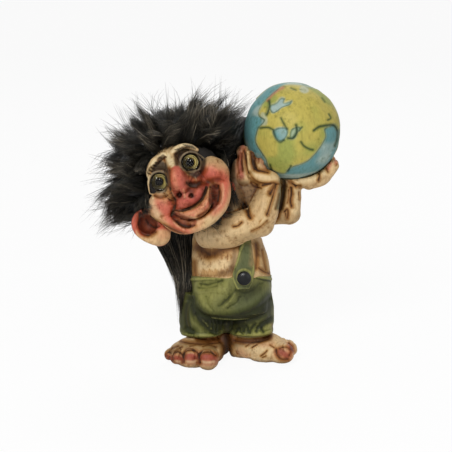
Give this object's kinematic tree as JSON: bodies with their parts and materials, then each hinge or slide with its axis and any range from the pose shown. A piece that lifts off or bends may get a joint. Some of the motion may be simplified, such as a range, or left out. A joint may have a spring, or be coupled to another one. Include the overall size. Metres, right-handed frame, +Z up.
{
  "type": "troll figurine",
  "caption": "Standing folk troll in rolled trousers with wild fur hair and glass eyes, holding a globe up beside its head in both hands.",
  "frame": {"origin": "middle of the bounding box, at floor level under the feet", "axes": "+Z up, the troll's face looks towards -Y, the globe is on the +X side"},
  "size_m": [0.1278, 0.0774, 0.149],
  "materials": {
    "skin_casting": "hand-painted, satin, antiqued with a dark wash",
    "trouser_casting": "hand-painted olive green, satin, antiqued with a dark wash",
    "globe_casting": "hand-painted ochre land on a teal sea, satin",
    "button_black": "polished black",
    "eye_clear": "clear and polished",
    "eye_paint": "painted gold-green iris with a black pupil",
    "wig_cloth": "dark woven backing",
    "wig_fur": "long dark fur with grey-brown tips"
  },
  "bodies": {
    "root": {"trousers": "trouser_casting", "torso": "skin_casting", "right_foot": "skin_casting", "left_foot": "skin_casting", "right_arm": "skin_casting", "left_arm": "skin_casting", "globe": "globe_casting", "front_brace": "trouser_casting", "back_brace": "trouser_casting", "brace_button": "button_black", "nape_hair": "wig_fur", "head": "skin_casting", "right_ear": "skin_casting", "left_ear": "skin_casting", "right_eye_glass": "eye_clear", "right_eye_backing": "eye_paint", "left_eye_glass": "eye_clear", "left_eye_backing": "eye_paint", "wig_cap": "wig_cloth", "crown_hair": "wig_fur"}
  },
  "joints": []
}
